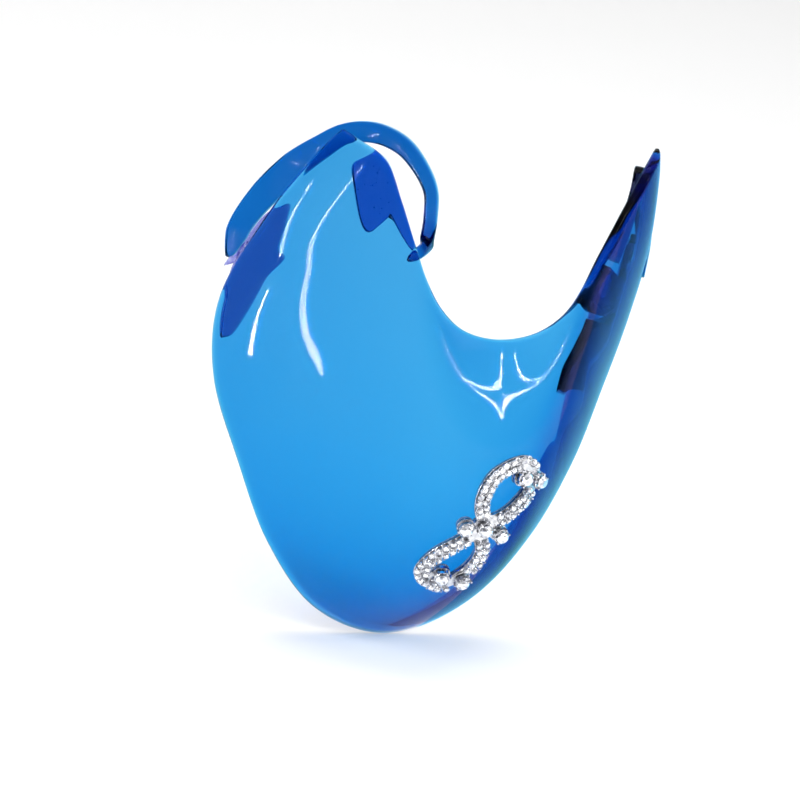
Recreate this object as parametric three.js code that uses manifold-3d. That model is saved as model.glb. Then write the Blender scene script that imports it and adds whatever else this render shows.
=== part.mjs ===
// Lip-and-cheek retractor in clear blue acrylic: a domed front shield with a U-shaped lip
// relief and two horns, a bonded loop behind each horn, and a rhinestone bow on the front.
// Frame: X across the face, -Y out of the mouth, +Z up, origin at the middle of the bounding
// box.  Units are millimetres.
import * as THREE from 'three';
import { mergeVertices } from 'three/addons/utils/BufferGeometryUtils.js';
import Module from 'manifold-3d';

const wasm = await Module();
wasm.setup();

// ---------------------------------------------------------------- driving dimensions
const GAP = 0.3;                 // clearance between neighbouring pieces
const SHEET = 2.6;               // shield wall
const LUG_T = 1.6;               // lug plate and tab thickness
const BOND_T = 0.35;             // solvent bond pad
const LOOP_T = 2.2;              // loop thickness
const BACK_T = 0.7;              // bow backing plate
const GLUE_T = 0.4;              // adhesive under the bow
const SMALL_R = 0.74;            // small stone radius
const SMALL_PITCH = 1.5;
const BIG_R = 1.7;               // large stone radius
const BIG_STATION = 2.1;         // backing disc under a large stone

// Right half of the shield, from the centre line (first row) up to the horn tip (last row).
const RIM = [[0, -3.8, 16], [9, -3.9, 17.6], [16, -4.1, 22.4], [21.2, -3.5, 29],
  [25.4, -2.2, 36.8], [29.8, -1, 45.5], [34.4, 0.8, 54], [40.8, 6.8, 60]];
const BELLY = [[0, -32, -31], [9.3, -28.5, -28], [18, -18.5, -18.3], [28, -6.2, -6],
  [36.8, 3.6, 8.5], [42, 8, 24.5], [43.2, 8, 44], [42.5, 10, 60]];
const EDGE = [[0, 26.5, -66], [19, 27, -60], [34, 27.4, -44.5], [44.5, 29, -25.5],
  [52.3, 33.2, -6.5], [55.2, 31.5, 12.5], [52.3, 23.4, 32.5], [45, 13.4, 57]];

// Loop centre lines, drawn for the right side, each point with its half width. The left loop
// stands in from its horn and bends over the tip; the right one folds down behind its horn.
const LOOP_OUT = [[22.6, 3.8, 31.6, 1.3], [21.2, 0.3, 35.4, 1.3], [23.8, -4.4, 38.9, 1.4],
  [25.6, -7.4, 44.4, 1.4], [26.4, -6.8, 50.4, 1.5], [28.6, -3.7, 55.3, 1.8],
  [31.4, 0.9, 58.8, 2.1], [35.1, 7, 59.8, 2.3], [39.1, 12.9, 57.9, 2.4], [42.4, 17.5, 53.4, 2.8],
  [45.8, 23, 47.2, 3.3], [49.6, 27, 39.8, 3.2], [53.5, 28.9, 31.6, 2.7], [54.9, 29.8, 23.5, 2.2]];
// The folded leg of the right loop lies along the inside of the shield, so it is placed by
// stations on the skin: along the shield, across it, depth inside the outer face, half width.
const LOOP_FOLD = [[4.85, 0.3, 4.6, 1.3], [5.3, 0.3, 4.6, 1.3], [5.8, 0.31, 4.6, 1.4],
  [6.2, 0.36, 4.7, 1.6], [6.5, 0.46, 4.9, 1.9], [6.62, 0.62, 5, 2], [6.6, 0.8, 4.9, 2.2],
  [6.5, 0.96, 4.6, 2.4]];
const LOOP_TAIL = [[48.2, 23.7, 42.4, 2.6], [51.6, 26.5, 38.3, 2.7], [54.2, 28.5, 31.9, 2.6],
  [55.1, 29.7, 23.5, 2.2]];
const LOOP_FACE = new THREE.Vector3(0.8, -0.6, 0);   // direction the flat side looks

// Bow outlines on the front, as (X, Z) seen from straight ahead.
const UPPER = [[-0.2, -24.6], [-2.8, -19.6], [-0.9, -13.6], [5.4, -10.5], [9.2, -12.6],
  [9, -17.2], [4.6, -22.6]];
const LOWER = [[-1.2, -28.4], [-5.2, -31.2], [-8.3, -35.4], [-8.4, -40], [-2.7, -42.6],
  [0.9, -38], [1.6, -32.6]];
const BIG = [['upper_end', 10.4, -14.6], ['upper_inner', 6, -14.0], ['knot_left', -4.6, -26.4],
  ['knot_right', 3.9, -27.6], ['knot_centre', -0.4, -26.2], ['lower_inner', -4.6, -39.6],
  ['lower_end', 0.6, -40.6]];
const KNOT = [-0.3, -26.6, 3.2];  // centre and radius of the plate under the knot

const ACRYLIC = 0x1a6fd0, DEEP = 0x123a9a, GLUE = 0x24347c, SILVER = 0xc9ccd2, GEM = 0xf2f4fa;

// ---------------------------------------------------------------- small helpers
const V = (a) => new THREE.Vector3(...a);
const side3 = (p, s) => new THREE.Vector3(p.x * s, p.y, p.z);

function row(table, k, mirrorStart) {
  // Catmull-Rom through the rows; the start may continue mirrored across the centre line
  const n = table.length - 1;
  const at = (j) => {
    if (j < 0 && mirrorStart) return V(table[-j]).multiply(V([-1, 1, 1]));
    if (j < 0) return V(table[0]).multiplyScalar(2).sub(V(table[1]));
    if (j > n) return V(table[n]).multiplyScalar(2).sub(V(table[n - 1]));
    return V(table[j]);
  };
  const i = Math.min(n - 1, Math.max(0, Math.floor(k)));
  const f = k - i;
  const [a, b, c, d] = [at(i - 1), at(i), at(i + 1), at(i + 2)];
  const w = [-f + 2 * f * f - f ** 3, 2 - 5 * f * f + 3 * f ** 3, f + 4 * f * f - 3 * f ** 3, -f * f + f ** 3];
  return a.multiplyScalar(w[0]).add(b.multiplyScalar(w[1])).add(c.multiplyScalar(w[2]))
    .add(d.multiplyScalar(w[3])).multiplyScalar(0.5);
}

function skin(k, v, s = 1) {
  // outer face of the shield: k runs from the centre line to the horn tip, v from rim to edge
  const kk = Math.abs(k);
  const m = Math.sign(k) || 1;
  const p = row(RIM, kk, true).multiplyScalar((1 - v) ** 2)
    .add(row(BELLY, kk, true).multiplyScalar(2 * v * (1 - v)))
    .add(row(EDGE, kk, true).multiplyScalar(v * v));
  return side3(p, s * m);
}

function skinNormal(k, v, s = 1) {
  const h = 0.01;
  const kt = Math.min(k, RIM.length - 1 - h);
  const a = skin(kt + h, v, 1).sub(skin(kt - h, v, 1));
  const b = skin(kt, v + h, 1).sub(skin(kt, v - h, 1));
  const n = new THREE.Vector3().crossVectors(b, a).normalize();
  if (n.y > 0 && Math.abs(k) < 3) n.negate();
  return side3(n, s);
}

function offsetSkin(k, v, s, d) {
  // point d millimetres inside the outer face
  return skin(k, v, s).addScaledVector(skinNormal(k, v, s), -d);
}

function onFront(x, z) {
  // outer-face point seen straight ahead at (x, z), with its normal
  const s = x < 0 ? -1 : 1;
  let k = Math.abs(x) / 10, v = 0.45;
  for (let i = 0; i < 30; i++) {
    const p = skin(k, v, 1), h = 1e-3;
    const pk = skin(k + h, v, 1).sub(p).divideScalar(h), pv = skin(k, v + h, 1).sub(p).divideScalar(h);
    const ex = Math.abs(x) - p.x, ez = z - p.z;
    const det = pk.x * pv.z - pv.x * pk.z;
    k += (ex * pv.z - pv.x * ez) / det;
    v += (pk.x * ez - ex * pk.z) / det;
  }
  return { p: skin(k, v, s), n: skinNormal(k, v, s) };
}

function grid(points, nu, nv, wrapU = false, wrapV = false) {
  // indexed faces of a (nu+1) x (nv+1) lattice of points
  const id = (i, j) => (wrapU ? i % nu : i) * (wrapV ? nv : nv + 1) + (wrapV ? j % nv : j);
  const faces = [];
  for (let i = 0; i < nu; i++) {
    for (let j = 0; j < nv; j++) {
      const [a, b, c, d] = [id(i, j), id(i + 1, j), id(i + 1, j + 1), id(i, j + 1)];
      faces.push(a, b, c, a, c, d);
    }
  }
  return { points, faces };
}

function toGeometry(points, faces) {
  const g = new THREE.BufferGeometry();
  g.setAttribute('position', new THREE.Float32BufferAttribute(points.flatMap((p) => [p.x, p.y, p.z]), 3));
  g.setIndex(faces);
  if (volume(g) < 0) g.setIndex(faces.map((_, i) => faces[i - (i % 3) + [0, 2, 1][i % 3]]));
  return g;
}

function volume(g) {
  const p = g.getAttribute('position'), ix = g.getIndex().array;
  const [a, b, c] = [new THREE.Vector3(), new THREE.Vector3(), new THREE.Vector3()];
  let sum = 0;
  for (let i = 0; i < ix.length; i += 3) {
    a.fromBufferAttribute(p, ix[i]);
    b.fromBufferAttribute(p, ix[i + 1]);
    c.fromBufferAttribute(p, ix[i + 2]);
    sum += a.dot(b.cross(c));
  }
  return sum / 6;
}

function plate(fn, nu, nv, d0, d1) {
  // closed sheet between two offsets; fn(a, b, d) gives a point, a and b in 0..1
  const pts = [];
  for (const d of [d0, d1]) {
    for (let i = 0; i <= nu; i++) {
      for (let j = 0; j <= nv; j++) pts.push(fn(i / nu, j / nv, d));
    }
  }
  const N = (nu + 1) * (nv + 1);
  const id = (i, j, l) => l * N + i * (nv + 1) + j;
  const f = [];
  const quad = (a, b, c, d) => f.push(a, b, c, a, c, d);
  for (let i = 0; i < nu; i++) {
    for (let j = 0; j < nv; j++) {
      quad(id(i, j, 0), id(i + 1, j, 0), id(i + 1, j + 1, 0), id(i, j + 1, 0));
      quad(id(i, j, 1), id(i, j + 1, 1), id(i + 1, j + 1, 1), id(i + 1, j, 1));
    }
    quad(id(i, 0, 0), id(i, 0, 1), id(i + 1, 0, 1), id(i + 1, 0, 0));
    quad(id(i, nv, 0), id(i + 1, nv, 0), id(i + 1, nv, 1), id(i, nv, 1));
  }
  for (let j = 0; j < nv; j++) {
    quad(id(0, j, 0), id(0, j + 1, 0), id(0, j + 1, 1), id(0, j, 1));
    quad(id(nu, j, 0), id(nu, j, 1), id(nu, j + 1, 1), id(nu, j + 1, 0));
  }
  return toGeometry(pts, f);
}

function sweep(rings, closed) {
  // closed body through a list of equal-length point rings
  const n = rings.length, m = rings[0].length;
  const { faces } = grid(null, closed ? n : n - 1, m, closed, true);
  if (!closed) {
    for (let j = 1; j < m - 1; j++) {
      faces.push(0, j, j + 1);
      faces.push((n - 1) * m, (n - 1) * m + j + 1, (n - 1) * m + j);
    }
  }
  return toGeometry(rings.flat(), faces);
}

function solid(g) {
  const bare = new THREE.BufferGeometry();
  bare.setAttribute('position', g.getAttribute('position').clone());
  if (g.getIndex()) bare.setIndex(Array.from(g.getIndex().array));
  const m = mergeVertices(bare, 1e-4);
  return new wasm.Manifold(new wasm.Mesh({
    numProp: 3,
    vertProperties: new Float32Array(m.getAttribute('position').array),
    triVerts: new Uint32Array(m.getIndex().array),
  }));
}

function fromSolid(s) {
  const m = s.getMesh();
  const g = new THREE.BufferGeometry();
  g.setAttribute('position', new THREE.Float32BufferAttribute(Array.from(m.vertProperties), 3));
  g.setIndex(Array.from(m.triVerts));
  return g;
}

const group = new THREE.Group();
function add(name, geometry, color, rough = 0.1, metal = 0, opacity = 1) {
  geometry.computeVertexNormals();
  const mat = new THREE.MeshStandardMaterial({
    color, roughness: rough, metalness: metal, opacity, transparent: opacity < 1,
  });
  const mesh = new THREE.Mesh(geometry, mat);
  mesh.name = name;
  group.add(mesh);
}

// ---------------------------------------------------------------- shield
const TIP = RIM.length - 1;
const shieldAt = (a, b, d) => {
  const k = (2 * a - 1) * TIP;
  return offsetSkin(Math.abs(k), b, k < 0 ? -1 : 1, d);
};
add('front_shield', plate(shieldAt, 48, 12, 0, SHEET), ACRYLIC, 0.06, 0, 0.75);

// ---------------------------------------------------------------- loops
function loopBody(s, path) {
  const steps = 44, last = path.length - 1;
  const centre = path.map((p) => p.slice(0, 3));
  const rings = [];
  for (let i = 0; i <= steps; i++) {
    const t = (i / steps) * last;
    const c = row(centre, t, false);
    const t0 = Math.max(0, t - 0.05), t1 = Math.min(last, t + 0.05);
    const dir = row(centre, t1, false).sub(row(centre, t0, false)).normalize();
    const across = new THREE.Vector3().crossVectors(dir, LOOP_FACE).normalize();
    const face = new THREE.Vector3().crossVectors(across, dir).normalize();
    const j = Math.min(last - 1, Math.floor(t));
    const round = Math.min(1, Math.sqrt((steps - i + 0.6) / 3));
    const hw = THREE.MathUtils.lerp(path[j][3], path[j + 1][3], t - j) * round;
    const ht = LOOP_T / 2, q = 0.5;
    const section = [[hw, ht - q], [hw - q, ht], [-hw + q, ht], [-hw, ht - q],
      [-hw, -ht + q], [-hw + q, -ht], [hw - q, -ht], [hw, -ht + q]];
    rings.push(section.map(([x, y]) => {
      const p = c.clone().addScaledVector(across, x).addScaledVector(face, y);
      return side3(p, s);
    }));
  }
  return sweep(rings, false);
}
const fold = LOOP_FOLD.map(([k, v, depth, half]) => [...offsetSkin(k, v, 1, depth).toArray(), half]);
add('left_loop', loopBody(-1, LOOP_OUT), DEEP, 0.08, 0, 0.85);
add('right_loop', loopBody(1, [...fold, ...LOOP_TAIL]), DEEP, 0.08, 0, 0.85);

// ---------------------------------------------------------------- lug plates, tabs, bond pads
const lerp = THREE.MathUtils.lerp;
// Lug plates: each hugs the inside of the outer edge and reaches past it higher up to carry the
// loop. The left one is a narrow strip with one small lobe; the right one is a broad leaf.
const plateLeft = (a, b) => {
  const k = lerp(4.45, 6.2, a);
  const lobe = 0.07 * Math.exp(-(((k - 5.3) / 0.12) ** 2));
  const inner = 0.93 - 0.06 * a - 0.11 * Math.sin(Math.PI * a) - lobe;
  const outer = 0.985 + 0.12 * Math.max(0, (a - 0.3) / 0.7);
  return [k, lerp(inner, outer, b)];
};
const plateRight = (a, b) => {
  const k = lerp(2.35, 6.1, a);
  const tip = 0.05 * (1 - Math.min(1, a / 0.08)) ** 2;
  const inner = Math.min(0.95, 0.225 + 0.04 * (k - 2.35) + 0.34 * Math.max(0, k - 3.75)) + tip;
  const outer = 0.3 + 0.685 * Math.min(1, (k - 2.35) / 1.8) ** 1.7 + 0.15 * Math.max(0, k - 4.9);
  return [k, lerp(inner, outer, b)];
};
// Tabs behind the rim that the front leg of each loop comes down to.
const tabLeft = (a, b) => {
  const low = 3.55 + 1.4 * Math.min(1, b / 0.3);
  return [lerp(low, 6.38, a), lerp(0.015, lerp(0.23, 0.35, a), b)];
};
const tabRight = (a, b) => [lerp(3.35 + 0.5 * b, 4.35 + 1.25 * b, a), lerp(0.12, lerp(0.28, 0.87, a), b)];
const inside = (dom, s, from) => (a, b, d) => {
  const [k, v] = dom(a, b);
  return offsetSkin(k, v, s, from + d);
};
const lugFrom = SHEET + GAP;
for (const [name, s, lug, tab] of [['left', -1, plateLeft, tabLeft], ['right', 1, plateRight, tabRight]]) {
  add(`${name}_lug_plate`, plate(inside(lug, s, lugFrom), 24, 6, 0, LUG_T), DEEP, 0.08, 0, 0.85);
  add(`${name}_loop_tab`, plate(inside(tab, s, lugFrom), 10, 5, 0, LUG_T), DEEP, 0.08, 0, 0.85);
  const pad = (a, b) => [lerp(5.5, 5.82, a), lerp(1.03, 1.09, b)];
  add(`${name}_bond_pad`, plate(inside(pad, s, lugFrom - 0.1 - BOND_T), 5, 2, 0, BOND_T), GLUE, 0.3, 0, 0.9);
}

// ---------------------------------------------------------------- rhinestone bow
function closedPath(points, n) {
  const c = new THREE.CatmullRomCurve3(points.map(([x, z]) => new THREE.Vector3(x, 0, z)), true, 'centripetal');
  return c.getSpacedPoints(n).slice(0, n);
}

function strip(path, halfWidth, h0, h1, closed, shift = 0) {
  const n = path.length;
  const rings = path.map((p, i) => {
    const a = path[closed ? (i + n - 1) % n : Math.max(0, i - 1)];
    const b = path[closed ? (i + 1) % n : Math.min(n - 1, i + 1)];
    const t = b.clone().sub(a).normalize();
    const across = new THREE.Vector3(-t.z, 0, t.x);
    const corner = (w, h) => {
      const q = p.clone().addScaledVector(across, shift + w);
      const f = onFront(q.x, q.z);
      return f.p.addScaledVector(f.n, h);
    };
    return [corner(halfWidth, h0), corner(-halfWidth, h0), corner(-halfWidth, h1), corner(halfWidth, h1)];
  });
  return sweep(rings, closed);
}

function turned(x, z, profile, sides, h) {
  // lathe standing on the front at (x, z), its axis along the local normal
  const g = new THREE.LatheGeometry(profile.map(([r, y]) => new THREE.Vector2(r, y)), sides);
  const f = onFront(x, z);
  const q = new THREE.Quaternion().setFromUnitVectors(new THREE.Vector3(0, 1, 0), f.n);
  g.applyQuaternion(q);
  const p = f.p.addScaledVector(f.n, h);
  g.translate(p.x, p.y, p.z);
  return g;
}

const hBack = GAP + GLUE_T + GAP;              // underside of the backing plate
const hChain = hBack + BACK_T + GAP;           // underside of the stone chains
const disc = (r, t, sides) => [[0, 0], [r, 0], [r, t], [0, t]];

// adhesive and backing both follow the figure of eight
function figure(halfWidth, h, t, discs) {
  let body = solid(strip(closedPath(UPPER, 26), halfWidth, h, h + t, true))
    .add(solid(strip(closedPath(LOWER, 26), halfWidth, h, h + t, true)));
  for (const [, x, z] of BIG) body = body.add(solid(turned(x, z, disc(discs, t), 10, h)));
  body = body.add(solid(turned(KNOT[0], KNOT[1], disc(KNOT[2], t), 12, h)));
  return fromSolid(body);
}
add('bow_adhesive', figure(1.3, GAP, GLUE_T, BIG_STATION - 0.1), 0xd8dde6, 0.3, 0, 0.8);
add('bow_backing', figure(1.6, hBack, BACK_T, BIG_STATION), SILVER, 0.25, 1);

// chains of small stones, an outer and an inner row on each loop of the bow
const gem = [[0, 0], [SMALL_R, 0.25], [SMALL_R, 0.75], [0.42, 1.1], [0, 1.1]];
function clear(p) {
  return Math.hypot(p.x - KNOT[0], p.z - KNOT[1]) > KNOT[2] + 0.6
    && BIG.every(([, x, z]) => Math.hypot(p.x - x, p.z - z) > BIG_R + SMALL_R + 0.4);
}
function clearRuns(path) {
  // the open runs of a closed path that keep clear of every large stone
  const n = path.length;
  const start = path.findIndex((p) => !clear(p));
  const runs = [[]];
  for (let i = 0; i < n; i++) {
    const p = path[(start + i) % n];
    if (clear(p)) runs[runs.length - 1].push(p);
    else if (runs[runs.length - 1].length) runs.push([]);
  }
  return runs.filter((r) => r.length > 9).map((r) => r.slice(1, -1));
}
function chains(name, outline, shift) {
  const base = closedPath(outline, 120);
  const moved = base.map((p, i) => {
    const t = base[(i + 1) % 120].clone().sub(base[(i + 119) % 120]).normalize();
    return p.clone().addScaledVector(new THREE.Vector3(-t.z, 0, t.x), shift);
  });
  clearRuns(moved).forEach((run, r) => {
    const curve = new THREE.CatmullRomCurve3(run);
    const count = Math.floor(curve.getLength() / SMALL_PITCH);
    let body = solid(strip(curve.getSpacedPoints(count * 2), 0.42, hChain, hChain + 0.4, false));
    for (const p of curve.getSpacedPoints(count)) body = body.add(solid(turned(p.x, p.z, gem, 6, hChain)));
    add(`${name}_${r + 1}`, fromSolid(body), GEM, 0.05);
  });
}
chains('bow_upper_outer_row', UPPER, 0.82);
chains('bow_upper_inner_row', UPPER, -0.82);
chains('bow_lower_outer_row', LOWER, 0.82);
chains('bow_lower_inner_row', LOWER, -0.82);

// large stones, each in its own cup
const cup = [[0, 0], [BIG_R + 0.15, 0], [BIG_R + 0.15, 1.05], [BIG_R - 0.2, 1.05], [BIG_R - 0.75, 0.4], [0, 0.4]];
const brilliant = [[0, 0.7], [BIG_R - 0.75, 0.7], [BIG_R - 0.05, 1.35], [BIG_R - 0.05, 1.6],
  [BIG_R - 0.8, 2.3], [0, 2.3]];
for (const [name, x, z] of BIG) {
  add(`cup_${name}`, turned(x, z, cup, 10, hChain), SILVER, 0.25, 1);
  add(`stone_${name}`, turned(x, z, brilliant, 8, hChain + 0.05), GEM, 0.03);
}

// origin at the middle of the bounding box
const box = new THREE.Box3();
group.children.forEach((m) => box.union(new THREE.Box3().setFromBufferAttribute(m.geometry.getAttribute('position'))));
const mid = box.getCenter(new THREE.Vector3());
group.children.forEach((m) => m.geometry.translate(-mid.x, -mid.y, -mid.z));

export default group;
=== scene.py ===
"""Clear blue acrylic lip-and-cheek retractor with bonded loops and a rhinestone bow."""
import math
import random
import bmesh
import bpy
from mathutils import Matrix, Vector

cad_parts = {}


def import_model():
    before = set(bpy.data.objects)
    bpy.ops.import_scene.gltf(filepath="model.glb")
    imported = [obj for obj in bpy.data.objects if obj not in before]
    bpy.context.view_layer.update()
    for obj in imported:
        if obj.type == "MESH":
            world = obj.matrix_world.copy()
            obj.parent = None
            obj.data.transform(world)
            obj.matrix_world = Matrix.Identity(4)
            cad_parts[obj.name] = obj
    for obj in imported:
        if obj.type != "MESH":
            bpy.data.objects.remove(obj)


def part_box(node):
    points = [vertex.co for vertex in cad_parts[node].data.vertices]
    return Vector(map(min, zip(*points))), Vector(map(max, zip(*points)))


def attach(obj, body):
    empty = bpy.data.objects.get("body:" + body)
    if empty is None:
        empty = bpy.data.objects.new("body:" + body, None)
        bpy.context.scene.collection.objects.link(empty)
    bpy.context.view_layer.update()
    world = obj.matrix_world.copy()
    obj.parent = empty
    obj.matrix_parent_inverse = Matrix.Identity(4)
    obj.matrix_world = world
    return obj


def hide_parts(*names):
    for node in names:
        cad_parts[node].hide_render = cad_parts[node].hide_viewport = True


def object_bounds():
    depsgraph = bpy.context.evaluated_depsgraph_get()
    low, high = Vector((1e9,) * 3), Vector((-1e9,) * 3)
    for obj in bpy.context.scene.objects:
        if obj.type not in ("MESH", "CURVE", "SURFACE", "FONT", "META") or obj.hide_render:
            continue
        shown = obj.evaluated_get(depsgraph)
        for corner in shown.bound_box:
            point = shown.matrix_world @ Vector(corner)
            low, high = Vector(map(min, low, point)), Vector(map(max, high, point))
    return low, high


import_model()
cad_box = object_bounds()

MM = 0.001
SHIELD_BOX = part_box("front_shield")
# Drawing frame to row frame, mm.  The shield is symmetric, so its middle is X = 0 of the drawing;
# Y and Z are taken off the middle of the CAD model's bounding box.
SHIFT = Vector(((SHIELD_BOX[0][0] + SHIELD_BOX[1][0]) / 2 / MM, -9.0417, 1.9578))
# Thicknesses, gaps and stone sizes, mm, the same as in the CAD model.
SHEET, GAP, LUG_T, BOND_T, LOOP_T = 2.6, 0.3, 1.6, 0.35, 2.2
BACK_T, GLUE_T = 0.7, 0.4
SMALL_R, SMALL_PITCH, BIG_R = 0.74, 1.5, 1.7

# Right half of the shield, from the centre line up to the horn tip.
RIM = [(0, -3.8, 16), (9, -3.9, 17.6), (16, -4.1, 22.4), (21.2, -3.5, 29),
       (25.4, -2.2, 36.8), (29.8, -1, 45.5), (34.4, 0.8, 54), (40.8, 6.8, 60)]
BELLY = [(0, -32, -31), (9.3, -28.5, -28), (18, -18.5, -18.3), (28, -6.2, -6),
         (36.8, 3.6, 8.5), (42, 8, 24.5), (43.2, 8, 44), (42.5, 10, 60)]
EDGE = [(0, 26.5, -66), (19, 27, -60), (34, 27.4, -44.5), (44.5, 29, -25.5),
        (52.3, 33.2, -6.5), (55.2, 31.5, 12.5), (52.3, 23.4, 32.5), (45, 13.4, 57)]
# Centre line of the left loop, drawn for the right side, each point with its half width.
LOOP_OUT = [(22.6, 3.8, 31.6, 1.3), (21.2, 0.3, 35.4, 1.3), (23.8, -4.4, 38.9, 1.4),
            (25.6, -7.4, 44.4, 1.4), (26.4, -6.8, 50.4, 1.5), (28.6, -3.7, 55.3, 1.8),
            (31.4, 0.9, 58.8, 2.1), (35.1, 7, 59.8, 2.3), (39.1, 12.9, 57.9, 2.4),
            (42.4, 17.5, 53.4, 2.8), (45.8, 23, 47.2, 3.3), (49.6, 27, 39.8, 3.2),
            (53.5, 28.9, 31.6, 2.7), (54.9, 29.8, 23.5, 2.2)]
# The folded leg of the right loop, by stations on the skin: along the shield, across it, depth
# inside the outer face, half width.  Its tail is in plain coordinates.
LOOP_FOLD = [(4.85, 0.3, 4.6, 1.3), (5.3, 0.3, 4.6, 1.3), (5.8, 0.31, 4.6, 1.4), (6.2, 0.36, 4.7, 1.6),
             (6.5, 0.46, 4.9, 1.9), (6.62, 0.62, 5, 2), (6.6, 0.8, 4.9, 2.2), (6.5, 0.96, 4.6, 2.4)]
LOOP_TAIL = [(48.2, 23.7, 42.4, 2.6), (51.6, 26.5, 38.3, 2.7), (54.2, 28.5, 31.9, 2.6),
             (55.1, 29.7, 23.5, 2.2)]
LOOP_FACE = Vector((0.8, -0.6, 0))    # direction the flat side looks
# Bow outlines and large stones on the front, as (X, Z) seen from straight ahead.
UPPER = [(-0.2, -24.6), (-2.8, -19.6), (-0.9, -13.6), (5.4, -10.5), (9.2, -12.6),
         (9, -17.2), (4.6, -22.6)]
LOWER = [(-1.2, -28.4), (-5.2, -31.2), (-8.3, -35.4), (-8.4, -40), (-2.7, -42.6),
         (0.9, -38), (1.6, -32.6)]
BIG = [("upper_end", 10.4, -14.6), ("upper_inner", 6, -14.0), ("knot_left", -4.6, -26.4),
       ("knot_right", 3.9, -27.6), ("knot_centre", -0.4, -26.2), ("lower_inner", -4.6, -39.6),
       ("lower_end", 0.6, -40.6)]
KNOT = (-0.3, -26.6, 3.2)     # centre and radius of the plate under the knot
ROW_SHIFT = 0.82              # stone rows either side of the bow's outline
CHAIN_STEPS = 120
TIP = len(RIM) - 1
TIP_ROUND = 0.75              # last stretch of the horn that rounds off, in rows
CORNER = 7                    # corners of lug plates and tabs, higher is squarer
rng = random.Random(7)


# ------------------------------------------------------------------ surface of the shield
def lerp(a, b, t):
    return a + (b - a) * t


def row(table, k, mirrored):
    n = len(table) - 1

    def at(j):
        if j < 0:
            if mirrored:
                p = table[-j]
                return Vector((-p[0], p[1], p[2]))
            return Vector(table[0]) * 2 - Vector(table[1])
        if j > n:
            return Vector(table[n]) * 2 - Vector(table[n - 1])
        return Vector(table[j])
    i = min(n - 1, max(0, int(k)))
    f = k - i
    a, b, c, d = at(i - 1), at(i), at(i + 1), at(i + 2)
    return 0.5 * (a * (-f + 2 * f * f - f ** 3) + b * (2 - 5 * f * f + 3 * f ** 3)
                  + c * (f + 4 * f * f - 3 * f ** 3) + d * (-f * f + f ** 3))


def skin(k, v, s=1):
    sign = -1 if k < 0 else 1
    k = abs(k)
    p = (row(RIM, k, True) * (1 - v) ** 2 + row(BELLY, k, True) * (2 * v * (1 - v))
         + row(EDGE, k, True) * (v * v))
    return Vector((p.x * s * sign, p.y, p.z))


def normal(k, v, s=1):
    h = 0.01
    kt = min(k, TIP - h)
    a = skin(kt + h, v) - skin(kt - h, v)
    b = skin(kt, v + h) - skin(kt, v - h)
    n = b.cross(a).normalized()
    return Vector((n.x * s, n.y, n.z))


def inside(k, v, s, d):
    return skin(k, v, s) - normal(k, v, s) * d


def on_front(x, z):
    s = -1 if x < 0 else 1
    k, v, h = abs(x) / 10, 0.45, 1e-3
    for _ in range(30):
        p = skin(k, v)
        pk, pv = (skin(k + h, v) - p) / h, (skin(k, v + h) - p) / h
        ex, ez = abs(x) - p.x, z - p.z
        det = pk.x * pv.z - pv.x * pk.z
        k += (ex * pv.z - pv.x * ez) / det
        v += (pk.x * ez - ex * pk.z) / det
    return skin(k, v, s), normal(k, v, s)


# ------------------------------------------------------------------ mesh helpers
def make(name, points, faces, material, nodes, smooth=True, bevel=0.0):
    """Closed mesh from points in the drawing frame, facing out, riding on the root body."""
    mesh = bpy.data.meshes.new(name)
    mesh.from_pydata([(p + SHIFT) * MM for p in points], [], faces)
    bm = bmesh.new()
    bm.from_mesh(mesh)
    bmesh.ops.remove_doubles(bm, verts=bm.verts, dist=1e-7)
    bmesh.ops.recalc_face_normals(bm, faces=bm.faces)
    if bm.calc_volume(signed=True) < 0:
        bmesh.ops.reverse_faces(bm, faces=bm.faces)
    bm.to_mesh(mesh)
    bm.free()
    mesh.materials.append(material)
    mesh.polygons.foreach_set("use_smooth", [smooth] * len(mesh.polygons))
    obj = bpy.data.objects.new(name, mesh)
    bpy.context.scene.collection.objects.link(obj)
    if bevel:
        m = obj.modifiers.new("edge", "BEVEL")
        m.width, m.segments = bevel * MM, 3
        m.limit_method, m.angle_limit = "ANGLE", 0.9
    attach(obj, "root")
    if nodes:
        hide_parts(*nodes)


def lattice(rings, closed):
    """Points and faces of a body through equal rings, capped when it is not closed on itself."""
    n, m = len(rings), len(rings[0])
    pts = [p for r in rings for p in r]
    faces = []
    for i in range(n if closed else n - 1):
        a, b = i * m, ((i + 1) % n) * m
        for j in range(m):
            k = (j + 1) % m
            faces.append((a + j, b + j, b + k, a + k))
    if not closed:
        faces.append(tuple(range(m)))
        faces.append(tuple(range((n - 1) * m, n * m))[::-1])
    return pts, faces


def plate(fn, nu, nv, thick):
    """Closed sheet of one thickness; fn(a, b, d) gives a point, a and b in 0..1."""
    pts = [fn(i / nu, j / nv, d) for d in (0, thick) for i in range(nu + 1) for j in range(nv + 1)]
    size = (nu + 1) * (nv + 1)

    def at(i, j, layer):
        return layer * size + i * (nv + 1) + j
    faces = []
    for i in range(nu):
        for j in range(nv):
            faces.append((at(i, j, 0), at(i + 1, j, 0), at(i + 1, j + 1, 0), at(i, j + 1, 0)))
            faces.append((at(i, j, 1), at(i, j + 1, 1), at(i + 1, j + 1, 1), at(i + 1, j, 1)))
        faces.append((at(i, 0, 0), at(i, 0, 1), at(i + 1, 0, 1), at(i + 1, 0, 0)))
        faces.append((at(i, nv, 0), at(i + 1, nv, 0), at(i + 1, nv, 1), at(i, nv, 1)))
    for j in range(nv):
        faces.append((at(0, j, 0), at(0, j + 1, 0), at(0, j + 1, 1), at(0, j, 1)))
        faces.append((at(nu, j, 0), at(nu, j, 1), at(nu, j + 1, 1), at(nu, j + 1, 0)))
    return pts, faces


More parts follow.
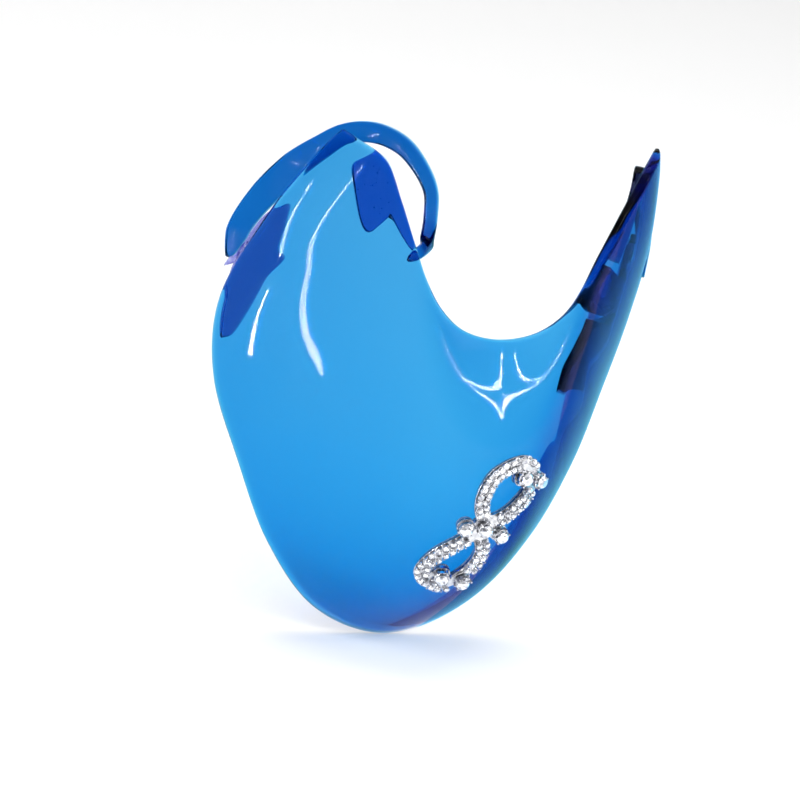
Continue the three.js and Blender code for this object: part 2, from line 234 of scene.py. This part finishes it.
# ------------------------------------------------------------------ materials
def new_material(name):
    mat = bpy.data.materials.new(name)
    mat.use_nodes = True
    nt = mat.node_tree
    return mat, nt, nt.nodes["Principled BSDF"]


def noise(nt, scale, detail=3.0):
    tex = nt.nodes.new("ShaderNodeTexNoise")
    tex.inputs["Scale"].default_value = scale
    tex.inputs["Detail"].default_value = detail
    pos = nt.nodes.new("ShaderNodeTexCoord")
    nt.links.new(pos.outputs["Object"], tex.inputs["Vector"])
    return tex


def ramp(nt, source, stops):
    node = nt.nodes.new("ShaderNodeValToRGB")
    while len(node.color_ramp.elements) < len(stops):
        node.color_ramp.elements.new(0.5)
    for el, (pos, col) in zip(node.color_ramp.elements, stops):
        el.position, el.color = pos, col
    nt.links.new(source, node.inputs["Fac"])
    return node


def bump(nt, bsdf, height, strength, distance):
    node = nt.nodes.new("ShaderNodeBump")
    node.inputs["Strength"].default_value = strength
    node.inputs["Distance"].default_value = distance
    nt.links.new(height, node.inputs["Height"])
    nt.links.new(node.outputs["Normal"], bsdf.inputs["Normal"])


def grey(v):
    return (v, v, v, 1)


ACRYLIC_IOR = 1.15           # below the true 1.49, so the grazing flank keeps its blue
PAINTED_SHADE_SPAN = (-0.062, 0.045)  # heights over which the painted shade fades, full at the bottom, none at the top, metres


def acrylic(name, colour, density, wave, low=None):
    """Clear tinted acrylic: polished skin with faint moulding waves, absorbing body.

    With low given, the skin is multiplied by that colour at the bottom and by white at the top:
    painted shade, deeper blue towards the bottom.
    """
    mat, nt, bsdf = new_material(name)
    bsdf.inputs["Transmission Weight"].default_value = 1.0
    bsdf.inputs["IOR"].default_value = ACRYLIC_IOR
    tint = ramp(nt, noise(nt, 30).outputs["Fac"],
                [(0.3, (0.93, 0.97, 1.0, 1)), (0.7, (0.98, 0.99, 1.0, 1))])
    shade = tint.outputs["Color"]
    # painted shade: the skin turns deeper blue towards the bottom
    if low:
        pos = nt.nodes.new("ShaderNodeTexCoord")
        sep = nt.nodes.new("ShaderNodeSeparateXYZ")
        nt.links.new(pos.outputs["Object"], sep.inputs["Vector"])
        span = nt.nodes.new("ShaderNodeMapRange")
        span.inputs["From Min"].default_value = PAINTED_SHADE_SPAN[0]
        span.inputs["From Max"].default_value = PAINTED_SHADE_SPAN[1]
        nt.links.new(sep.outputs["Z"], span.inputs["Value"])
        depth = ramp(nt, span.outputs["Result"], [(0.0, (*low, 1)), (1.0, (1, 1, 1, 1))])
        mix = nt.nodes.new("ShaderNodeMix")
        mix.data_type, mix.blend_type = "RGBA", "MULTIPLY"
        mix.inputs["Factor"].default_value = 1.0
        nt.links.new(shade, mix.inputs["A"])
        nt.links.new(depth.outputs["Color"], mix.inputs["B"])
        shade = mix.outputs["Result"]
    nt.links.new(shade, bsdf.inputs["Base Color"])
    rough = ramp(nt, noise(nt, 90).outputs["Fac"], [(0.35, grey(0.012)), (0.75, grey(0.035))])
    nt.links.new(rough.outputs["Color"], bsdf.inputs["Roughness"])
    bump(nt, bsdf, noise(nt, 22, 1.5).outputs["Fac"], wave, 0.002)
    vol = nt.nodes.new("ShaderNodeVolumeAbsorption")
    vol.inputs["Color"].default_value = (*colour, 1)
    vol.inputs["Density"].default_value = density
    nt.links.new(vol.outputs["Volume"], nt.nodes["Material Output"].inputs["Volume"])
    return mat


# The shield's skin carries painted shade, deeper blue towards the bottom.
SHIELD_MAT = acrylic("cobalt_acrylic", (0.0, 0.66, 0.885), 1150, wave=0.06,
                     low=(0.25, 0.84, 0.92))
LOOP_MAT = acrylic("cobalt_acrylic_loop", (0.0, 0.62, 0.86), 2300, wave=0.03)
# The lug plates are one acrylic tinted as two copies: their violet is painted edge light, and the
# right plate's extra darkness is painted shade.
SHADED_LUG_MAT = acrylic("cobalt_acrylic_lug_painted_shade", (0.45, 0.42, 0.76), 2000, wave=0.06)
LIGHTER_LUG_MAT = acrylic("cobalt_acrylic_lug_painted_lighter", (0.18, 0.20, 0.68), 1050, wave=0.06)
TAB_MAT = acrylic("cobalt_acrylic_tab", (0.10, 0.50, 0.86), 2000, wave=0.10)


def bond_material():
    """Cured solvent bond: dark, slightly rough, with small bubbles."""
    mat, nt, bsdf = new_material("solvent_bond")
    bsdf.inputs["Transmission Weight"].default_value = 1.0
    bsdf.inputs["IOR"].default_value = 1.45
    cells = nt.nodes.new("ShaderNodeTexVoronoi")
    cells.inputs["Scale"].default_value = 700
    pos = nt.nodes.new("ShaderNodeTexCoord")
    nt.links.new(pos.outputs["Object"], cells.inputs["Vector"])
    tint = ramp(nt, cells.outputs["Distance"],
                [(0.1, (0.5, 0.55, 0.9, 1)), (0.5, (0.16, 0.16, 0.55, 1))])
    nt.links.new(tint.outputs["Color"], bsdf.inputs["Base Color"])
    rough = ramp(nt, noise(nt, 300).outputs["Fac"], [(0.3, grey(0.08)), (0.7, grey(0.35))])
    nt.links.new(rough.outputs["Color"], bsdf.inputs["Roughness"])
    bump(nt, bsdf, cells.outputs["Distance"], 0.5, 0.0004)
    return mat


def plated_material():
    """Bright silver plate with slight wear in its tone and gloss."""
    mat, nt, bsdf = new_material("silver_plate")
    bsdf.inputs["Metallic"].default_value = 1.0
    tint = ramp(nt, noise(nt, 900).outputs["Fac"],
                [(0.3, (0.50, 0.51, 0.54, 1)), (0.7, (0.86, 0.86, 0.88, 1))])
    nt.links.new(tint.outputs["Color"], bsdf.inputs["Base Color"])
    rough = ramp(nt, noise(nt, 1500).outputs["Fac"], [(0.3, grey(0.12)), (0.7, grey(0.3))])
    nt.links.new(rough.outputs["Color"], bsdf.inputs["Roughness"])
    bump(nt, bsdf, noise(nt, 1200).outputs["Fac"], 0.15, 0.0002)
    return mat


def crystal_with_painted_glints():
    """Foiled cut stone with painted glints: its tone runs from dark grey to white in small cells,
    painted sparkle of bright and dark facets.
    """
    mat, nt, bsdf = new_material("foiled_crystal_painted_glints")
    bsdf.inputs["Metallic"].default_value = 0.75
    bsdf.inputs["Coat Weight"].default_value = 1.0
    bsdf.inputs["Coat Roughness"].default_value = 0.02
    cells = nt.nodes.new("ShaderNodeTexVoronoi")
    cells.inputs["Scale"].default_value = 1500
    pos = nt.nodes.new("ShaderNodeTexCoord")
    nt.links.new(pos.outputs["Object"], cells.inputs["Vector"])
    # painted glints: dark grey to white cells stand in for facet reflections
    tint = ramp(nt, cells.outputs["Color"],
                [(0.15, (0.30, 0.31, 0.36, 1)), (0.45, (0.86, 0.88, 0.93, 1)), (1.0, (1, 1, 1, 1))])
    nt.links.new(tint.outputs["Color"], bsdf.inputs["Base Color"])
    rough = ramp(nt, cells.outputs["Distance"], [(0.2, grey(0.04)), (0.8, grey(0.16))])
    nt.links.new(rough.outputs["Color"], bsdf.inputs["Roughness"])
    return mat


def adhesive_material():
    """Clear adhesive film, cloudy in places."""
    mat, nt, bsdf = new_material("clear_adhesive")
    bsdf.inputs["Transmission Weight"].default_value = 0.8
    tint = ramp(nt, noise(nt, 600).outputs["Fac"],
                [(0.3, (0.45, 0.6, 0.85, 1)), (0.7, (0.8, 0.88, 1.0, 1))])
    nt.links.new(tint.outputs["Color"], bsdf.inputs["Base Color"])
    rough = ramp(nt, noise(nt, 700).outputs["Fac"], [(0.3, grey(0.2)), (0.7, grey(0.45))])
    nt.links.new(rough.outputs["Color"], bsdf.inputs["Roughness"])
    return mat


def bubble_material():
    """Skin of a trapped bubble: half clear, from blue to nearly white."""
    mat, nt, bsdf = new_material("trapped_air")
    bsdf.inputs["Transmission Weight"].default_value = 0.5
    bsdf.inputs["IOR"].default_value = 1.3
    tint = ramp(nt, noise(nt, 500).outputs["Fac"],
                [(0.3, (0.35, 0.55, 0.95, 1)), (0.7, (0.8, 0.88, 1.0, 1))])
    nt.links.new(tint.outputs["Color"], bsdf.inputs["Base Color"])
    bsdf.inputs["Roughness"].default_value = 0.1
    return mat


BOND_MAT, PLATE_MAT, BUBBLE_MAT = bond_material(), plated_material(), bubble_material()
# GEM_MAT carries painted glints in its base colour.
GEM_MAT, GLUE_MAT = crystal_with_painted_glints(), adhesive_material()


# ------------------------------------------------------------------ shield
def shield():
    """Domed sheet with rounded rims: each ring runs over the front, the edge and the back."""
    across, turn, count = 36, 6, 200
    half = SHEET / 2
    least, thin_tip = 0.003, 0.25        # keep the tip from closing to nothing
    reach = 0.005                        # half step in v for the slope of the skin
    rings = []
    for i in range(count + 1):
        u = -1 + 2 * i / count
        k, s = abs(u) * TIP, (-1 if u < 0 else 1)
        taper = max(0.0, (k - (TIP - TIP_ROUND)) / TIP_ROUND)
        width = math.sqrt(max(least, 1 - taper ** 2.2))
        thick = half * min(1, thin_tip + 0.9 * width)
        lo, hi = 0.5 - 0.5 * width, 0.5 + 0.5 * width
        turns = []
        for v, way in ((hi, 1), (lo, -1)):
            step = (skin(k, v + reach, s) - skin(k, v - reach, s)) / (2 * reach)
            r = min(half, 0.4 * width * step.length)
            w = v - way * r / step.length
            c, n, t = inside(k, w, s, half), normal(k, w, s), step.normalized() * way
            angles = [math.pi * q / turn for q in range(1, turn)]
            arc = [c + t * r * math.sin(a) + n * thick * math.cos(a) for a in angles]
            turns.append((w, arc if way > 0 else arc[::-1]))
        (w1, arc1), (w0, arc0) = turns
        ring = [inside(k, lerp(w0, w1, j / across), s, half - thick) for j in range(across + 1)]
        ring += arc1
        ring += [inside(k, lerp(w1, w0, j / across), s, half + thick) for j in range(across + 1)]
        rings.append(ring + arc0)
    pts, faces = lattice(rings, False)
    make("shield_skin", pts, faces, SHIELD_MAT, ["front_shield"])


shield()


# ------------------------------------------------------------------ loops
def loop(side, s, path):
    """Flat bar with rounded corners along a path, blunt at both ends."""
    steps, rings = 160, []
    foot_steps, end_steps = 5, 9         # rings over which the two ends round off
    last = len(path) - 1
    ht = LOOP_T / 2
    centre = [p[:3] for p in path]
    for i in range(steps + 1):
        t = last * i / steps
        c = row(centre, t, False)
        after, before = row(centre, min(last, t + 0.05), False), row(centre, max(0, t - 0.05), False)
        d = (after - before).normalized()
        across = d.cross(LOOP_FACE).normalized()
        face = across.cross(d).normalized()
        j = min(last - 1, int(t))
        blunt = min(1.0, math.sqrt((steps - i + 0.4) / end_steps), math.sqrt((i + 0.4) / foot_steps))
        hw = lerp(path[j][3], path[j + 1][3], t - j) * blunt
        q = min(0.35, hw * 0.6)
        ring = []
        corners = ((hw - q, ht - q, 0), (q - hw, ht - q, 90),
                   (q - hw, q - ht, 180), (hw - q, q - ht, 270))
        for cx, cy, a0 in corners:
            for a in (0, 30, 60, 90):
                r = math.radians(a0 + a)
                ring.append((cx + q * math.cos(r), cy + q * math.sin(r)))
        points = [c + across * x + face * y for x, y in ring]
        rings.append([Vector((p.x * s, p.y, p.z)) for p in points])
    pts, faces = lattice(rings, False)
    make(f"{side}_loop_ring", pts, faces, LOOP_MAT, [f"{side}_loop"])


# ------------------------------------------------------------------ lug plates, tabs, bonds
# Each domain below turns a and b in 0..1 into k along the shield and v across it.
def plate_left(a, b):
    k = lerp(4.45, 6.2, a)
    lobe = 0.07 * math.exp(-((k - 5.3) / 0.12) ** 2)
    inner = 0.93 - 0.06 * a - 0.11 * math.sin(math.pi * a) - lobe
    return k, lerp(inner, 0.985 + 0.12 * max(0, (a - 0.3) / 0.7), b)


def plate_right(a, b):
    k = lerp(2.35, 6.1, a)
    tip = 0.05 * (1 - min(1, a / 0.08)) ** 2
    inner = min(0.95, 0.225 + 0.04 * (k - 2.35) + 0.34 * max(0, k - 3.75)) + tip
    outer = 0.3 + 0.685 * min(1, (k - 2.35) / 1.8) ** 1.7 + 0.15 * max(0, k - 4.9)
    return k, lerp(inner, outer, b)


def tab_left(a, b):
    low = 3.55 + 1.4 * min(1, b / 0.3)
    return lerp(low, 6.38, a), lerp(0.015, lerp(0.23, 0.35, a), b)


def tab_right(a, b):
    return lerp(3.35 + 0.5 * b, 4.35 + 1.25 * b, a), lerp(0.12, lerp(0.28, 0.87, a), b)


def bond(a, b):
    return lerp(5.5, 5.82, a), lerp(1.03, 1.09, b)


def fitted(name, domain, s, start, thick, nu, nv, mat, node, bevel):
    """Plate on the inside of the shield over a domain of the skin, its corners rounded off."""
    def fn(a, b, d):
        a = 0.5 - 0.5 * math.cos(math.pi * a)
        full = max(0.05, (1 - abs(2 * a - 1) ** CORNER)) ** (1 / CORNER)
        k, v = domain(a, 0.5 + (b - 0.5) * full)
        return inside(k, v, s, start + d)
    pts, faces = plate(fn, nu, nv, thick)
    make(name, pts, faces, mat, [node], bevel=bevel)


def bubbles(s, domain, start, count):
    """Trapped air between a tab and the shield, a cloud of small round bubbles."""
    pts, faces = [], []
    rows, cols = 5, 8
    for _ in range(count):
        k, v = domain(rng.uniform(0.08, 0.92), rng.uniform(0.1, 0.9))
        c = inside(k, v, s, start)
        r = rng.uniform(0.08, 0.2)
        base = len(pts)
        for i in range(1, rows):
            for j in range(cols):
                th, ph = math.pi * i / rows, 2 * math.pi * j / cols
                flat = r * math.sin(th)
                pts.append(c + Vector((flat * math.cos(ph), flat * math.sin(ph), r * math.cos(th))))
        for i in range(rows - 2):
            for j in range(cols):
                a, b = base + i * cols, base + (i + 1) * cols
                k2 = (j + 1) % cols
                faces.append((a + j, b + j, b + k2, a + k2))
        faces.append(tuple(base + j for j in range(cols)))
        faces.append(tuple(base + (rows - 2) * cols + j for j in range(cols))[::-1])
    return pts, faces


LUG_FROM = SHEET + GAP
BOND_CLEAR = 0.1              # gap between a bond pad and the lug plate
EDGE_ROUND = 0.3              # rounding of lug plate and tab edges
LOOP_IN = [(*inside(k, v, 1, depth), half) for k, v, depth, half in LOOP_FOLD] + LOOP_TAIL
for side, s, lug, tab, path in (("left", -1, plate_left, tab_left, LOOP_OUT),
                                ("right", 1, plate_right, tab_right, LOOP_IN)):
    loop(side, s, path)
    # the right lug plate takes the copy with painted shade, the left the lighter copy
    fitted(f"{side}_lug", lug, s, LUG_FROM, LUG_T, 72, 16, LIGHTER_LUG_MAT if s < 0 else SHADED_LUG_MAT,
           f"{side}_lug_plate", EDGE_ROUND)
    fitted(f"{side}_tab", tab, s, LUG_FROM, LUG_T, 24, 10, TAB_MAT,
           f"{side}_loop_tab", EDGE_ROUND)
    fitted(f"{side}_bond", bond, s, LUG_FROM - BOND_CLEAR - BOND_T, BOND_T, 12, 5, BOND_MAT,
           f"{side}_bond_pad", 0.1)
    pts, faces = bubbles(s, tab, LUG_FROM - GAP / 2, 26)
    make(f"{side}_bond_bubbles", pts, faces, BUBBLE_MAT, None)


# ------------------------------------------------------------------ rhinestone bow
def closed_path(points, n):
    """Even points round a closed smooth curve."""
    m, fine = len(points), []
    for i in range(m):
        p0, p1, p2, p3 = (Vector(points[(i + o) % m]) for o in (-1, 0, 1, 2))
        for q in range(60):
            t = q / 60
            fine.append(0.5 * (2 * p1 + (p2 - p0) * t + (2 * p0 - 5 * p1 + 4 * p2 - p3) * t * t
                               + (-p0 + 3 * p1 - 3 * p2 + p3) * t ** 3))
    return even(fine + [fine[0]], n)[:-1]


def even(path, n):
    """The path again as n equal steps."""
    length = [0.0]
    for a, b in zip(path, path[1:]):
        length.append(length[-1] + (b - a).length)
    out, j = [], 0
    for i in range(n + 1):
        want = length[-1] * i / n
        while j < len(path) - 2 and length[j + 1] < want:
            j += 1
        f = (want - length[j]) / max(1e-9, length[j + 1] - length[j])
        out.append(path[j].lerp(path[j + 1], min(1, f)))
    return out


def strip(path, half, h0, h1):
    """Band round a closed path on the front, between two heights above the shield."""
    n, rings = len(path), []
    for i, p in enumerate(path):
        t = (path[(i + 1) % n] - path[i - 1]).normalized()
        w = Vector((-t.y, t.x))
        ring = []
        for cw, h in ((half, h0), (-half, h0), (-half, h1), (half, h1)):
            q = p + w * cw
            f, nn = on_front(q.x, q.y)
            ring.append(f + nn * h)
        rings.append(ring)
    return lattice(rings, True)


def standing(x, z, profile, sides, h):
    """Turned body on the front at (x, z); profile is (radius, height) from the base up."""
    f, n = on_front(x, z)
    q = Vector((0, 0, 1)).rotation_difference(n)
    base = f + n * h
    turns = [2 * math.pi * j / sides for j in range(sides)]
    pts = [base + q @ Vector((r * math.cos(a), r * math.sin(a), y)) for r, y in profile for a in turns]
    faces = []
    for i in range(len(profile) - 1):
        for j in range(sides):
            k = (j + 1) % sides
            faces.append((i * sides + j, i * sides + k, (i + 1) * sides + k, (i + 1) * sides + j))
    faces.append(tuple(range(sides))[::-1])
    top = (len(profile) - 1) * sides
    faces.append(tuple(range(top, top + sides)))
    return pts, faces


def brilliant(x, z, r, h, tilt):
    """Round cut stone: table, star and kite facets on the crown, a short pavilion below."""
    f, n = on_front(x, z)
    n = (n + tilt).normalized()
    q = Vector((0, 0, 1)).rotation_difference(n)
    spin = rng.uniform(0, 1)
    base = f + n * h

    m = 8

    def ring(rad, y, off=0.0):
        turns = [spin + 2 * math.pi * (j + off) / m for j in range(m)]
        return [base + q @ Vector((rad * math.cos(a), rad * math.sin(a), y)) for a in turns]
    pts = (ring(0.35 * r, 0) + ring(r, 0.55 * r) + ring(r, 0.66 * r)
           + ring(0.83 * r, 0.95 * r, 0.5) + ring(0.55 * r, 1.12 * r))
    faces = [tuple(range(m))[::-1], tuple(range(4 * m, 5 * m))]
    for j in range(m):
        k = (j + 1) % m
        faces.append((j, k, m + k, m + j))
        faces.append((m + j, m + k, 2 * m + k, 2 * m + j))
        faces.append((2 * m + j, 2 * m + k, 3 * m + j))
        faces.append((3 * m + j, 2 * m + k, 3 * m + k))
        faces.append((3 * m + j, 3 * m + k, 4 * m + k))
        faces.append((3 * m + j, 4 * m + k, 4 * m + j))
    return pts, faces


def joined(parts):
    pts, faces = [], []
    for p, f in parts:
        faces += [tuple(i + len(pts) for i in q) for q in f]
        pts += p
    return pts, faces


H_BACK = GAP + GLUE_T + GAP             # underside of the backing plate
H_CHAIN = H_BACK + BACK_T + GAP         # underside of the stone chains


def figure(name, half, h, t, disc_r, mat, node, bevel):
    """Figure of eight plate of the bow, with a disc under each large stone and the knot."""
    parts = [strip(closed_path(outline, 90), half, h, h + t) for outline in (UPPER, LOWER)]
    parts += [standing(x, z, [(disc_r, 0), (disc_r, t)], 32, h) for _, x, z in BIG]
    parts.append(standing(KNOT[0], KNOT[1], [(KNOT[2], 0), (KNOT[2], t)], 40, h))
    pts, faces = joined(parts)
    make(name, pts, faces, mat, [node], smooth=False, bevel=bevel)


figure("bow_glue_film", 1.3, GAP, GLUE_T, 2.0, GLUE_MAT, "bow_adhesive", 0)
figure("bow_plate", 1.6, H_BACK, BACK_T, 2.1, PLATE_MAT, "bow_backing", 0.12)


def clear(p):
    """Whether a small stone at p keeps clear of the knot and of every large stone."""
    if math.hypot(p.x - KNOT[0], p.y - KNOT[1]) <= KNOT[2] + 0.6:
        return False
    return all(math.hypot(p.x - x, p.y - z) > BIG_R + SMALL_R + 0.4 for _, x, z in BIG)


def clear_runs(path):
    """The open runs of a closed path that keep clear, without their end points."""
    n = len(path)
    start = next(i for i, p in enumerate(path) if not clear(p))
    runs = [[]]
    for i in range(n):
        p = path[(start + i) % n]
        if clear(p):
            runs[-1].append(p)
        elif runs[-1]:
            runs.append([])
    return [r[1:-1] for r in runs if len(r) > 9]


def small_tilt():
    return Vector((rng.uniform(-0.14, 0.14), rng.uniform(-0.05, 0.05), rng.uniform(-0.14, 0.14)))


def chains(name, outline, shift):
    """Cut stones in cups along one side of an outline, with beads of plating between them."""
    base = closed_path(outline, CHAIN_STEPS)
    moved = []
    cup = [(SMALL_R * 0.8, 0), (SMALL_R + 0.03, 0.35), (SMALL_R + 0.03, 0.62),
           (SMALL_R - 0.1, 0.62), (SMALL_R - 0.2, 0.4)]
    bead = [(0.2, 0.3), (0.2, 0.8), (0.11, 0.98)]
    for i, p in enumerate(base):
        t = (base[(i + 1) % CHAIN_STEPS] - base[i - 1]).normalized()
        moved.append(p + Vector((-t.y, t.x)) * shift)
    for r, run in enumerate(clear_runs(moved)):
        length = sum((b - a).length for a, b in zip(run, run[1:]))
        count = int(length / SMALL_PITCH)
        spots = even(run, count)
        gems = [brilliant(p.x, p.y, SMALL_R, H_CHAIN + 0.25, small_tilt()) for p in spots]
        cups = [standing(p.x, p.y, cup, 12, H_CHAIN) for p in spots]
        beads = []
        for a, b in zip(spots, spots[1:]):
            t = (b - a).normalized()
            for way in (-0.55, 0.55):
                w = (a + b) / 2 + Vector((-t.y, t.x)) * way
                beads.append(standing(w.x, w.y, bead, 8, H_CHAIN))
        pts, faces = joined(gems)
        make(f"{name}_stones_{r + 1}", pts, faces, GEM_MAT, [f"{name}_{r + 1}"],
             smooth=False)
        pts, faces = joined(cups + beads)
        make(f"{name}_cups_{r + 1}", pts, faces, PLATE_MAT, None, smooth=False)


for loop_name, outline in (("upper", UPPER), ("lower", LOWER)):
    chains(f"bow_{loop_name}_outer_row", outline, ROW_SHIFT)
    chains(f"bow_{loop_name}_inner_row", outline, -ROW_SHIFT)


def big_cup(x, z):
    """Plated cup of a large stone with six prongs round it."""
    r = BIG_R
    profile = [(r * 0.7, 0), (r + 0.12, 0.3), (r + 0.15, 0.95), (r - 0.05, 1.0), (r - 0.2, 0.6)]
    prong = [(0.26, 0.4), (0.26, 1.45), (0.14, 1.62)]
    parts = [standing(x, z, profile, 32, H_CHAIN)]
    for j in range(6):
        a = 2 * math.pi * j / 6 + 0.3
        px, pz = x + (r + 0.02) * math.cos(a), z + (r + 0.02) * math.sin(a)
        parts.append(standing(px, pz, prong, 10, H_CHAIN))
    return joined(parts)


for name, x, z in BIG:
    pts, faces = big_cup(x, z)
    make(f"cup_{name}_set", pts, faces, PLATE_MAT, [f"cup_{name}"], smooth=False)
    pts, faces = brilliant(x, z, BIG_R - 0.08, H_CHAIN + 0.55, small_tilt() * 0.5)
    make(f"stone_{name}_cut", pts, faces, GEM_MAT, [f"stone_{name}"], smooth=False)


# ------------------------------------------------------------------ studio
def stage_floor():
    """White paper sweep: floor, curve and back wall."""
    low = cad_box[0][2]
    pts = []
    width, front, back, radius = 2.4, -2.0, 1.3, 0.9
    rows = [(front, 0.0), (back, 0.0)]
    rows += [(back + radius * math.sin(a), radius * (1 - math.cos(a)))
             for a in (math.pi / 2 * i / 12 for i in range(1, 13))]
    rows.append((back + radius, 3.0))
    for y, z in rows:
        for x in (-width, width):
            pts.append((x, y, low + z))
    faces = [(2 * i, 2 * i + 1, 2 * i + 3, 2 * i + 2) for i in range(len(rows) - 1)]
    mesh = bpy.data.meshes.new("studio_sweep")
    mesh.from_pydata(pts, [], faces)
    mesh.polygons.foreach_set("use_smooth", [True] * len(mesh.polygons))
    mat, nt, bsdf = new_material("studio_paper")
    tint = ramp(nt, noise(nt, 4).outputs["Fac"], [(0.3, grey(0.95)), (0.7, grey(0.97))])
    nt.links.new(tint.outputs["Color"], bsdf.inputs["Base Color"])
    bsdf.inputs["Roughness"].default_value = 0.9
    bsdf.inputs["Specular IOR Level"].default_value = 0.1
    bsdf.inputs["Emission Color"].default_value = (1, 1, 1, 1)
    bsdf.inputs["Emission Strength"].default_value = 0.12
    mesh.materials.append(mat)
    obj = bpy.data.objects.new("studio_sweep", mesh)
    bpy.context.scene.collection.objects.link(obj)


def area(name, place, size, size_y, power):
    """Softbox at a place, facing the origin."""
    light = bpy.data.lights.new(name, "AREA")
    light.shape, light.size, light.size_y = "RECTANGLE", size, size_y
    light.energy = power
    obj = bpy.data.objects.new(name, light)
    obj.location = place
    obj.rotation_euler = Vector(place).to_track_quat("Z", "Y").to_euler()
    bpy.context.scene.collection.objects.link(obj)


def world():
    """Surroundings that run from grey below to white above."""
    w = bpy.data.worlds.new("studio_world")
    bpy.context.scene.world = w
    w.use_nodes = True
    nt = w.node_tree
    geo = nt.nodes.new("ShaderNodeTexCoord")
    sep = nt.nodes.new("ShaderNodeSeparateXYZ")
    nt.links.new(geo.outputs["Generated"], sep.inputs["Vector"])
    tone = ramp(nt, sep.outputs["Z"],
                [(0.0, grey(0.30)), (0.25, grey(0.36)), (0.5, grey(0.95)), (1.0, grey(1.0))])
    nt.links.new(tone.outputs["Color"], nt.nodes["Background"].inputs["Color"])
    nt.nodes["Background"].inputs["Strength"].default_value = 0.5


bpy.context.scene.view_settings.view_transform = "Standard"
stage_floor()
world()
area("key_softbox", (-0.9, -0.9, 1.1), 0.8, 0.8, 8)
area("top_softbox", (0.1, 0.1, 1.4), 1.2, 0.9, 8)
area("fill_softbox", (1.1, -0.6, 0.5), 0.5, 0.9, 3)


def strip_light(name, start, end, aim, width, glow):
    """Narrow tube of light from start to end, facing the aim, hidden from the camera itself."""
    a, b = Vector(start), Vector(end)
    length = (b - a).length
    centre, along = (a + b) / 2, (b - a).normalized()
    facing = Vector(aim) - centre
    facing = (facing - along * facing.dot(along)).normalized()
    light = bpy.data.lights.new(name, "AREA")
    light.shape, light.size, light.size_y = "RECTANGLE", width, length
    light.energy = glow * math.pi * width * length
    obj = bpy.data.objects.new(name, light)
    z, y = -facing, along
    x = y.cross(z)
    obj.matrix_world = Matrix(((x.x, y.x, z.x, centre.x), (x.y, y.y, z.y, centre.y),
                               (x.z, y.z, z.z, centre.z), (0, 0, 0, 1)))
    obj.visible_camera = False
    bpy.context.scene.collection.objects.link(obj)


def reflector():
    """Pale blue card low on the far right, seen only by mirror reflections on the right flank."""
    x, y, half, reach, top = 0.150, 0.095, 0.14, 0.15, 0.08
    low = cad_box[0][2] + 0.0004         # just above the floor
    ux, uy = 0.72 * half, -0.69 * half
    fx, fy = x - 0.69 * reach, y - 0.72 * reach
    pts = [(fx - ux, fy - uy, low), (fx + ux, fy + uy, low), (x - ux, y - uy, low),
           (x + ux, y + uy, low), (x - ux, y - uy, top), (x + ux, y + uy, top)]
    mesh = bpy.data.meshes.new("blue_card")
    mesh.from_pydata(pts, [], [(0, 1, 3, 2), (2, 3, 5, 4)])
    mat, nt, bsdf = new_material("blue_card")
    tint = ramp(nt, noise(nt, 6).outputs["Fac"],
                [(0.3, (0.15, 0.64, 0.93, 1)), (0.7, (0.22, 0.70, 0.97, 1))])
    nt.links.new(tint.outputs["Color"], bsdf.inputs["Emission Color"])
    bsdf.inputs["Emission Strength"].default_value = 1.0
    bsdf.inputs["Base Color"].default_value = (0, 0, 0, 1)
    mesh.materials.append(mat)
    card = bpy.data.objects.new("blue_card", mesh)
    card.visible_camera = card.visible_diffuse = card.visible_transmission = False
    card.visible_shadow = card.visible_volume_scatter = False
    bpy.context.scene.collection.objects.link(card)


reflector()
HORN = (-0.046, 0.006, 0.03)       # where the tubes beside the left horn are aimed
strip_light("tube_horn_edge", (-0.26, -0.016, 0.020), (-0.225, -0.036, -0.060), HORN, 0.004, 90)
strip_light("tube_horn_face", (-0.250, -0.115, 0.004), (-0.172, -0.042, -0.060), HORN, 0.005, 90)
strip_light("tube_low", (-0.205, -0.021, -0.060), (-0.153, 0.003, -0.060), HORN, 0.002, 240)
strip_light("tube_bridge_a", (0.48, -0.62, 0.63), (0.49, -0.86, 0.20), (0, 0, 0), 0.012, 140)
strip_light("tube_bridge_b", (0.38, -0.67, 0.64), (0.49, -0.86, 0.20), (0, 0, 0), 0.012, 140)

# ------------------------------------------------------------------ camera
AZ, EL, ROLL = math.radians(-30), math.radians(14), math.radians(10)
DISTANCE, MM_PER_PX = 1.4, 0.23
SENSOR, FRAME_PX = 36, 800         # sensor width in mm, picture width in pixels
AIM_SIDE = -0.0184                 # aim point beside the drawing's origin, metres
right = Vector((math.cos(AZ), math.sin(AZ), 0))
back = Vector((math.sin(AZ) * math.cos(EL), -math.cos(AZ) * math.cos(EL), math.sin(EL)))
up = back.cross(right)
r2 = right * math.cos(ROLL) + up * math.sin(ROLL)
u2 = up * math.cos(ROLL) - right * math.sin(ROLL)
aim = SHIFT * MM + r2 * AIM_SIDE
cam_data = bpy.data.cameras.new("photo_camera")
cam_data.lens = SENSOR * DISTANCE / (FRAME_PX * MM_PER_PX * MM)
cam_data.clip_start, cam_data.clip_end = 0.01, 30
camera = bpy.data.objects.new("photo_camera", cam_data)
place = aim + back * DISTANCE
camera.matrix_world = Matrix((
    (r2.x, u2.x, back.x, place.x), (r2.y, u2.y, back.y, place.y),
    (r2.z, u2.z, back.z, place.z), (0, 0, 0, 1)))
bpy.context.scene.collection.objects.link(camera)
bpy.context.scene.camera = camera
